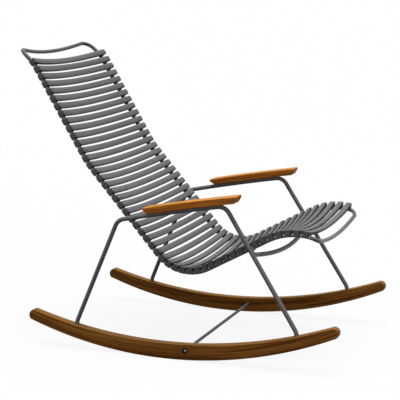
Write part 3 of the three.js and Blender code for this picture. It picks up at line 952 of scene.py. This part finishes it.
def spacer_runs(slat_number):
    """The pin and the spacer that carry the seat frame just after that slat."""
    place, heading = rail_at(slat_first + (slat_number - 0.5) * slat_pitch)
    back = slat_clip_depth - slat_face_height + spacer_pin_gap + spacer_pin_radius

    def out_at(y):
        return Vector((place.x + back * math.sin(heading), -y, place.y - back * math.cos(heading)))

    pin_end = out_at(slat_half + spacer_pin_reach)
    seat = nearest_on(side_path(), pin_end)
    surface = seat + (pin_end - seat).normalized() * weld_sink
    lapped = pin_end + Vector((0, -spacer_pin_lap, 0))
    pin = ([out_at(rail_spread + rail_radius / 2), lapped], spacer_pin_radius)
    return [pin, spacer_points(pin_end, surface)]


def flipped_runs(runs):
    return [(flipped(path), radius) for path, radius in runs]


side_runs = [(side_path(), side_radius)]
for slat_number in spacer_slats:
    side_runs += spacer_runs(slat_number)
foot_hole = [(side_path(), side_radius + foot_hole_slack)]
for side, runs, hole, runner in (
    ("right", side_runs, foot_hole, runner_right),
    ("left", flipped_runs(side_runs), flipped_runs(foot_hole), runner_left),
):
    new_piece(
        f"side_frame_bar_{side}",
        bar_mesh(f"side_{side}", runs),
        bar_coat,
        f"side_frame_{side}",
    )
    cut_away(runner, [bar_mesh(f"foot_holes_{side}", hole)])


# Crossbar. A bowed round bar welded between the front legs under the seat, which keeps the side
# frames apart. It is coated with them.

crossbar_radius = 0.0065
crossbar_end_height = 0.3215
crossbar_bow_forward = 0.024
crossbar_bow_drop = 0.0265
crossbar_weld = 0.0016
crossbar_beads = [(0, 1), (0.0012, 0.8), (0.0024, 0.35), (0.0036, 0)]


def leg_point_at(height):
    """The place on the right front leg at that height."""
    path = side_path()
    for low, high in zip(path[::-1], path[-2::-1]):
        if low.z <= height <= high.z:
            return low.lerp(high, (height - low.z) / (high.z - low.z))
    return path[-1]


def crossbar_run(facets=48):
    """The bar's path from leg to leg and its radii, which swell into a weld bead at both ends."""
    end = leg_point_at(crossbar_end_height)
    tip = -end.y - weld_sink
    left = [(tip - back, swell) for back, swell in crossbar_beads]
    span = left[-1][0]
    middle = [(y, 0) for y in evenly(span, -span, facets)[1:-1]]
    right = [(-y, swell) for y, swell in left[::-1]]
    points, radii = [], []
    for y, swell in left + middle + right:
        share = 1 - (y / end.y) ** 2
        x, z = end.x + crossbar_bow_forward * share, end.z - crossbar_bow_drop * share
        points.append(Vector((x, y, z)))
        radii.append(crossbar_radius + crossbar_weld * swell)
    return points, radii


new_piece(
    "crossbar_under_seat",
    bar_mesh("crossbar", [crossbar_run()]),
    bar_coat,
    "seat_crossbar",
)


# Armrests. Flat bars of oiled bamboo, paler than the runners, laid on the arms of the side frames
# and screwed from below. Their long edges are eased, and both ends slope in under a rounded tip.

armrest_rear = -0.059
armrest_front = 0.222
armrest_width = 0.051
armrest_thickness = 0.0193
armrest_rear_undercut = 0.014
armrest_front_undercut = 0.01
armrest_tip = 0.003
armrest_tip_slant = 0.0008
armrest_tip_height = 2.4 * armrest_tip
armrest_tip_start = math.radians(-20)
armrest_tip_sweep = math.radians(110)
armrest_ease = 0.0028
armrest_outset = 0.0025
armrest_gap = 0.0003
armrest_slope_probe = 0.01


def armrest_outline(spans=24, tip_facets=6):
    """The bar seen from the side. It follows the arch of the arm under it, and a point's place on
    it is a share of that arm's length."""
    chord = arm_front.x - arm_rear.x
    rear, front = (armrest_rear - arm_rear.x) / chord, (armrest_front - arm_rear.x) / chord
    rear_under = rear + armrest_rear_undercut / chord
    front_under = front - armrest_front_undercut / chord
    tip, slant = armrest_tip / chord, armrest_tip_slant / chord
    rear_tip, front_tip = rear + tip, front - tip
    under = side_radius + armrest_gap
    top = under + armrest_thickness
    lower_tip = top - armrest_tip_height

    def raised(share, height):
        slope = arm_point(share + armrest_slope_probe) - arm_point(share - armrest_slope_probe)
        return arm_point(share) + Vector((-slope.y, slope.x)).normalized() * height

    def level(start, end, height):
        return [raised(share, height) for share in evenly(start, end, spans)]

    def rounded_tip(middle, start):
        points = []
        for angle in evenly(start, start + armrest_tip_sweep, tip_facets):
            fall = armrest_tip * (1 - math.sin(angle))
            points.append(raised(middle + tip * math.cos(angle), top - fall))
        return points

    points = [
        *level(rear_under, front_under, under),
        raised(front - slant, lower_tip),
        *rounded_tip(front_tip, armrest_tip_start),
        *level(front_tip, rear_tip, top)[1:-1],
        *rounded_tip(rear_tip, math.pi / 2),
        raised(rear + slant, lower_tip),
    ]
    return [point + Vector((rest_x, 0)) for point in points]


armrest_middle = on_side(*arm_point(0.5)).y - armrest_outset
armrest_slope = math.atan2(arm_front.y - arm_rear.y, arm_front.x - arm_rear.x)
# The bamboo's dark, middle and light tones, and the lighter top face, which is painted light.
armrest_shades = (
    (0.31, 0.078, 0.007, 1),
    (0.57, 0.192, 0.021, 1),
    (0.72, 0.31, 0.05, 1),
    (0.9, 0.4, 0.05, 1),
)
armrest_strip = 0.0085
armrest_shine = 0.07

armrest_wood, armrest_tree, armrest_shader = new_finish("oiled_bamboo_armrest", armrest_shine)
armrest_grain = node(armrest_tree, "Mapping", {
    "Vector": node(armrest_tree, "TexCoord", {}).outputs["Object"],
    "Rotation": (0, armrest_slope, 0),
}).outputs[0]
bamboo_finish(armrest_tree, armrest_shader, armrest_grain, armrest_shades, armrest_strip)

for side, spread in (("right", armrest_middle), ("left", -armrest_middle)):
    new_piece(
        f"armrest_bar_{side}",
        plank_mesh(f"armrest_{side}", armrest_outline(), armrest_width, armrest_ease, spread),
        armrest_wood,
        f"armrest_{side}",
    )


# Rod and bolts. A thin coated rod keeps the runners apart, and a socket-head bolt goes through
# each runner into its tapped end. The heads lie below the surface in their counterbores.

rod_radius = 0.00475
rod_chamfer = 0.0006
rod_gap = 0.0003
bolt_head_radius = 0.005
bolt_head_height = 0.006
bolt_head_round = 0.0008
bolt_shank_radius = 0.0027
bolt_tip_reach = 0.014
bolt_tip_chamfer = 0.0004
bolt_socket_radius = 0.0029
bolt_socket_depth = 0.003
bolt_sides = 36
flat_turn = math.pi / 3
bore_sides = 40
bolt_hole_sides = 24
bolt_hole_lap = 0.001

runner_inner_face = runner_spread - runner_width / 2
runner_outer_face = runner_spread + runner_width / 2
bore_floor = runner_outer_face - counterbore_depth


def rod_line(places):
    """Points on the middle line of the rod and its bolts, at these places across the chair."""
    return [Vector((rod_x + rest_x, place, rod_height)) for place in places]


rod_end = runner_inner_face - rod_gap
rod_path = rod_line([-rod_end, -rod_end + rod_chamfer, rod_end - rod_chamfer, rod_end])
rod_radii = [rod_radius - rod_chamfer, rod_radius, rod_radius, rod_radius - rod_chamfer]
new_piece(
    "rod_between_runners",
    bar_mesh("rod", [(rod_path, rod_radii)]),
    bar_coat,
    "stretcher_rod",
)


def bolt_mesh(name, side):
    """The rings run from the shank's tip to the head's rim and down into its hexagonal socket."""
    seat = bore_floor + rod_gap
    top = seat + bolt_head_height
    tip = runner_inner_face - bolt_tip_reach
    rings = [
        (tip, bolt_shank_radius - bolt_tip_chamfer, False),
        (tip + bolt_tip_chamfer, bolt_shank_radius, False),
        (seat, bolt_shank_radius, False),
        (seat, bolt_head_radius, False),
        (top - bolt_head_round, bolt_head_radius, False),
        (top - bolt_head_round / 4, bolt_head_radius - bolt_head_round / 4, False),
        (top, bolt_head_radius - bolt_head_round, False),
        (top, bolt_socket_radius, True),
        (top - bolt_socket_depth, bolt_socket_radius, True),
    ]
    turned = []
    for place, radius, hexagonal in rings:
        ring = []
        for k in range(bolt_sides):
            angle = 2 * math.pi * k / bolt_sides
            reach = radius
            if hexagonal:
                reach *= math.cos(flat_turn / 2) / math.cos(angle % flat_turn - flat_turn / 2)
            ring.append(Vector((
                rod_x + rest_x + reach * math.cos(angle),
                side * place,
                rod_height + reach * math.sin(angle),
            )))
        turned.append(ring)
    return stacked_mesh(name, turned)


bolt_dark = (0.02, 0.02, 0.021, 1)
bolt_pale = (0.04, 0.04, 0.042, 1)
# Painted highlight on the middle of the head, over its socket.
bolt_painted_socket_highlight = (0.55, 0.54, 0.52, 1)
bolt_shine = 0.5
bolt_brush_noise = ((900.0, 40.0, 900.0), 3.0, 0.6)
bolt_socket_highlight_spread = (bolt_socket_radius, 0.7 * bolt_socket_radius)
bolt_gloss_spread = (0.3, 0.7, 0.25, 0.42)
bolt_relief = (0.15, 0.0002)

bolt_steel, bolt_tree, bolt_shader = new_finish("plain_bolt_steel", bolt_shine)
bolt_shader.inputs["Metallic"].default_value = 1.0
bolt_place = node(bolt_tree, "TexCoord", {}).outputs["Object"]
bolt_brush = noise_at(bolt_tree, bolt_place, *bolt_brush_noise)
bolt_side_place = stretched(bolt_tree, bolt_place, (1.0, 0.0, 1.0))
bolt_reach = distance_from(bolt_tree, bolt_side_place, (rod_x + rest_x, 0.0, rod_height))
bolt_colour = layered(bolt_tree, bolt_dark, [
    (spread_out(bolt_tree, bolt_brush, *even_spread), bolt_pale),
    # Painted highlight on the middle of the head.
    (spread_out(bolt_tree, bolt_reach, *bolt_socket_highlight_spread), bolt_painted_socket_highlight),
])
bolt_gloss = spread_out(bolt_tree, bolt_brush, *bolt_gloss_spread)
dress(bolt_tree, bolt_shader, bolt_colour, bolt_gloss, bolt_brush, bolt_relief)

for name, side, runner in (("right", -1, runner_right), ("left", 1, runner_left)):
    new_piece(
        f"rod_bolt_{name}",
        bolt_mesh(f"bolt_{name}", side),
        bolt_steel,
        f"stretcher_bolt_{name}",
    )
    bore = rod_line([side * bore_floor, side * (runner_spread + runner_width)])
    hole = rod_line([side * (runner_spread - runner_width), side * (bore_floor + bolt_hole_lap)])
    cut_away(runner, [
        bar_mesh("counterbore", [(bore, counterbore_radius)], bore_sides),
        bar_mesh("bolt_hole", [(hole, bolt_shank_radius + rod_gap)], bolt_hole_sides),
    ])


# Studio. A wide pale floor under a plain white background, with a soft lamp overhead, a weaker one
# from the front right and a low even fill. The camera stands where the photograph was taken from.

studio_white = (1, 1, 1, 1)
studio_fill = 0.15
key_strength = 2.4
key_direction = Vector((0.04, 0.03, -1.0))
front_strength = 0.7
front_direction = Vector((-0.6, 0.8, -0.25))
lamp_softness = math.radians(44)
floor_reach = 120.0
floor_corners = [(-1, -1), (1, -1), (1, 1), (-1, 1)]
floor_pale = (0.98, 0.98, 0.98, 1)
floor_dull = (0.2, 0.2, 0.2, 1)
floor_glow = 0.9
camera_lens = 114.32
camera_sensor = 36.0
camera_place = (1.34019 + rest_x, -3.5691, 1.08132)
camera_down = math.radians(9.921)
camera_turn = math.radians(20.597)
camera_nearest = 0.05
camera_farthest = 400.0

floor_mesh = bpy.data.meshes.new("studio_floor")
floor_mesh.from_pydata(
    [(x * floor_reach, y * floor_reach, 0) for x, y in floor_corners], [], [(0, 1, 2, 3)]
)
studio_floor = new_object("studio_floor", floor_mesh)


def seen_directly(tree):
    """1 for rays that show the background, seen, mirrored or through glass, and 0 for its light."""
    rays = node(tree, "LightPath", {})
    seen = maths(tree, "MAXIMUM", rays.outputs["Is Camera Ray"], rays.outputs["Is Glossy Ray"])
    return maths(tree, "MAXIMUM", seen, rays.outputs["Is Transmission Ray"])


def mixed(tree, share, first, second):
    inputs = {0: share, 1: first.outputs[0], 2: second.outputs[0]}
    return node(tree, "MixShader", inputs)


floor_paint = bpy.data.materials.new("studio_floor_paint")
floor_tree = cleared_tree(floor_paint)
pale_floor = node(floor_tree, "BsdfDiffuse", {"Color": floor_pale})
glowing_floor = node(floor_tree, "Emission", {"Color": studio_white, "Strength": 1.0})
shown_floor = mixed(floor_tree, floor_glow, pale_floor, glowing_floor)
dull_floor = node(floor_tree, "BsdfDiffuse", {"Color": floor_dull})
floor_choice = mixed(floor_tree, seen_directly(floor_tree), dull_floor, shown_floor)
node(floor_tree, "OutputMaterial", {0: floor_choice.outputs[0]})
floor_mesh.materials.append(floor_paint)

studio_world = bpy.data.worlds.new("studio_world")
bpy.context.scene.world = studio_world
world_tree = cleared_tree(studio_world)
shown_world = node(world_tree, "Background", {"Color": studio_white, "Strength": 1.0})
fill_world = node(world_tree, "Background", {"Color": studio_white, "Strength": studio_fill})
world_choice = mixed(world_tree, seen_directly(world_tree), fill_world, shown_world)
node(world_tree, "OutputWorld", {0: world_choice.outputs[0]})

for name, strength, direction in (
    ("overhead_key", key_strength, key_direction),
    ("front_fill", front_strength, front_direction),
):
    soft_light = bpy.data.lights.new(name, "SUN")
    soft_light.energy = strength
    soft_light.angle = lamp_softness
    lamp = new_object(name, soft_light)
    lamp.rotation_euler = direction.to_track_quat("-Z", "Y").to_euler()

camera_data = bpy.data.cameras.new("photo_camera")
camera_data.lens = camera_lens
camera_data.sensor_width = camera_sensor
camera_data.clip_start = camera_nearest
camera_data.clip_end = camera_farthest
photo_camera = new_object("photo_camera", camera_data)
photo_camera.location = camera_place
photo_camera.rotation_euler = (math.pi / 2 - camera_down, 0, camera_turn)
bpy.context.scene.camera = photo_camera
bpy.context.scene.view_settings.view_transform = "Standard"
